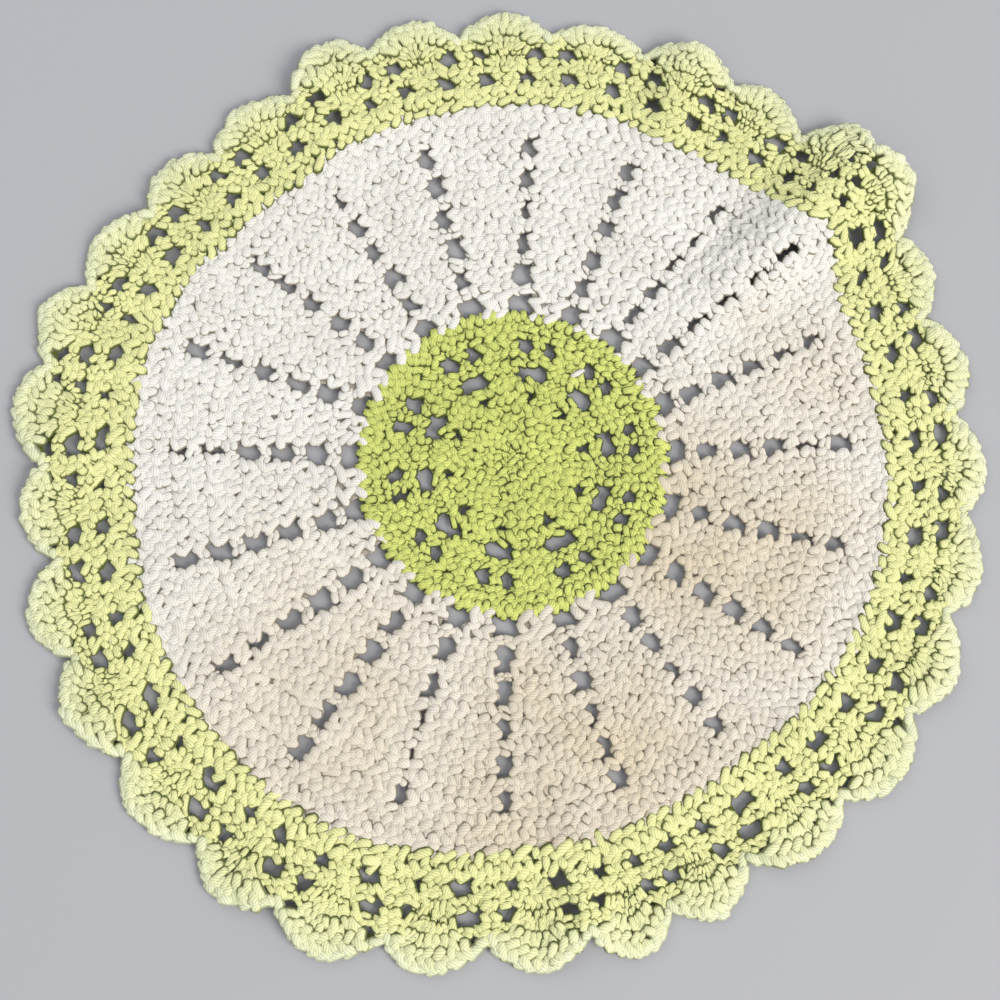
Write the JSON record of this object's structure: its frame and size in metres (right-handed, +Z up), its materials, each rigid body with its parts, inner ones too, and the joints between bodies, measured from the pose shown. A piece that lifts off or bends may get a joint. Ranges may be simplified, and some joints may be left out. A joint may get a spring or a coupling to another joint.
{
  "type": "crocheted lace doily",
  "caption": "Round crocheted cotton doily lying flat: green centre, white field with lines of small gaps, and a green border of scallops; it sits under a vase, plate or lamp.",
  "frame": {"origin": "on the surface that the doily lies on, below the middle of its outline", "axes": "+Z up out of the surface; +Y towards the edge at the top of the picture and +X towards the edge at its right"},
  "size_m": [0.3503, 0.3493, 0.0121],
  "materials": {
    "centre_yarn": "matt plied cotton yarn, leaf to lime green",
    "field_yarn": "matt plied cotton yarn, off-white with tan age stains",
    "border_yarn": "matt plied cotton yarn, pale lime green"
  },
  "bodies": {
    "root": {"green_centre": "centre_yarn", "white_field": "field_yarn", "green_border": "border_yarn"}
  },
  "joints": []
}
